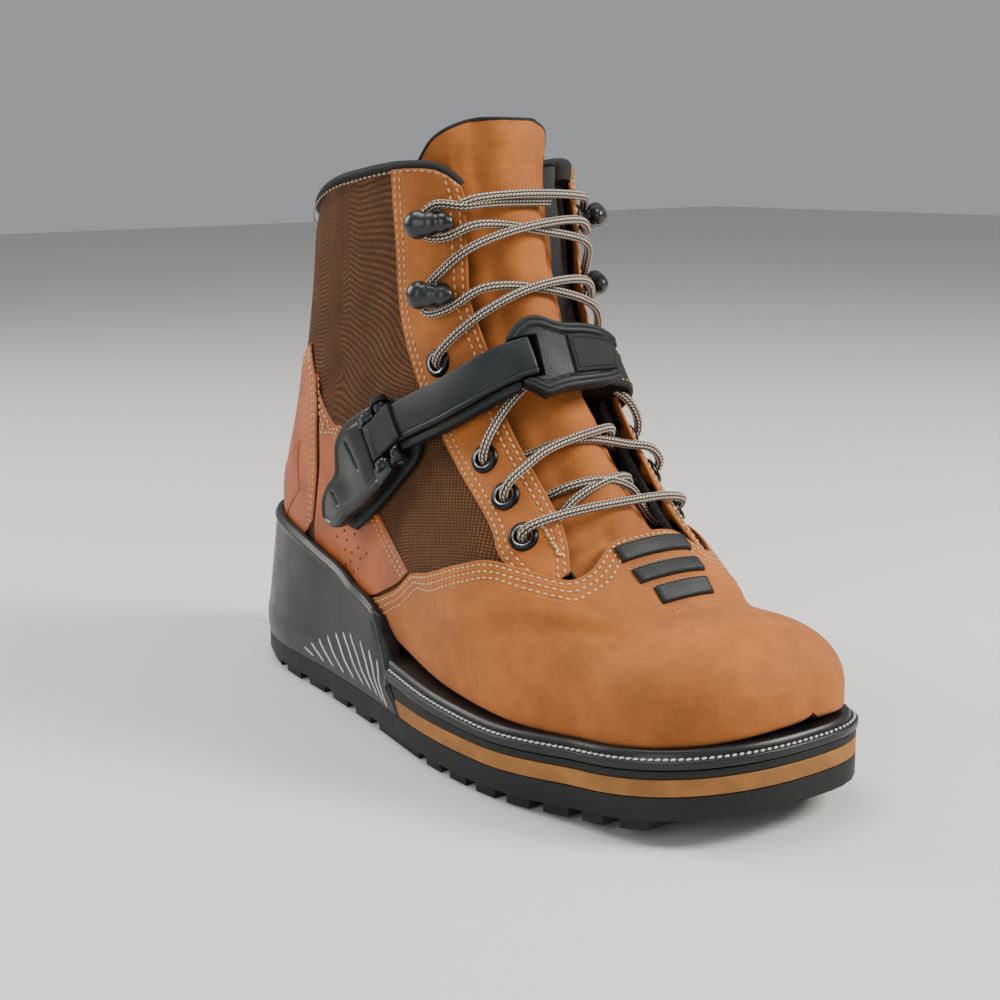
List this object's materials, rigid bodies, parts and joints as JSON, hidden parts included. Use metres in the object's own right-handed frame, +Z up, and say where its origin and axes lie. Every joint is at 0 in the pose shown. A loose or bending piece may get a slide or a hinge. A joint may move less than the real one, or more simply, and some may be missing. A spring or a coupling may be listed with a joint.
{
  "type": "steel toe work boot",
  "caption": "Right lace-up safety work boot with a steel toe cap, welted sole, moulded heel cup, lace hooks and an over-centre instep buckle.",
  "frame": {"origin": "on the ground, on the flat bottom of the lug bar below the waist of the sole", "axes": "+Z up, the toe points along -Y, -X is the lateral (outer) side"},
  "size_m": [0.1155, 0.3091, 0.235],
  "materials": {
    "nubuck": "orange-tan brushed nubuck",
    "dark_leather": "waxed brown leather",
    "textile": "coarse dark brown weave",
    "black_leather": "smooth black leather",
    "lining": "black padded mesh",
    "lace": "braided cord",
    "rubber": "matt black rubber",
    "tan_rubber": "matt tan rubber",
    "cup_rubber": "satin black rubber",
    "nylon": "matt moulded nylon",
    "gloss_nylon": "satin moulded nylon",
    "steel": "bare steel",
    "gunmetal": "black lacquered metal",
    "fibreboard": "pressed fibre board"
  },
  "bodies": {
    "boot": {"outsole": "rubber", "midsole_stripe": "tan_rubber", "midsole": "rubber", "welt": "cup_rubber", "heel_cup": "cup_rubber", "insole_board": "fibreboard", "shank": "steel", "footbed": "lining", "toe_cap_steel": "steel", "toe_lining": "lining", "quarter_lining": "lining", "vamp": "nubuck", "quarter_lateral": "textile", "eyestay_lateral": "nubuck", "counter_lateral": "dark_leather", "quarter_medial": "textile", "eyestay_medial": "nubuck", "counter_medial": "dark_leather", "backstay": "dark_leather", "tongue": "nubuck", "tongue_lining": "lining", "collar_binding": "black_leather", "vamp_bar_1": "nylon", "vamp_bar_2": "nylon", "vamp_bar_3": "nylon", "eyelet_lateral_1": "gunmetal", "eyelet_lateral_2": "gunmetal", "eyelet_lateral_3": "gunmetal", "eyelet_lateral_4": "gunmetal", "hook_lateral_1": "gunmetal", "hook_lateral_2": "gunmetal", "eyelet_medial_1": "gunmetal", "eyelet_medial_2": "gunmetal", "eyelet_medial_3": "gunmetal", "eyelet_medial_4": "gunmetal", "hook_medial_1": "gunmetal", "hook_medial_2": "gunmetal", "buckle_base": "nylon", "buckle_axle": "steel", "instep_shield": "nylon", "shield_inlay": "gloss_nylon", "medial_strap": "black_leather", "base_rivet_1": "gunmetal", "base_rivet_2": "gunmetal", "medial_rivet_1": "gunmetal", "medial_rivet_2": "gunmetal", "lace": "lace"},
    "lever": {"buckle_lever": "gloss_nylon", "strap_pin": "steel"},
    "strap": {"strap": "gloss_nylon"}
  },
  "joints": [
    {"name": "lever_open", "type": "hinge", "parent": "boot", "child": "lever", "pos_m": [-0.04719, 0.01566, 0.11955], "axis": [0.0611, 0.6245, 0.7787], "range_deg": [0, 95]},
    {"name": "strap_swing", "type": "hinge", "parent": "lever", "child": "strap", "pos_m": [-0.04862, 0.02268, 0.11403], "axis": [0.0611, 0.6245, 0.7787], "range_deg": [-118.75, 0]}
  ],
  "couplings": [
    {"joint": "strap_swing", "follows": "lever_open", "ratio": -1.25}
  ]
}
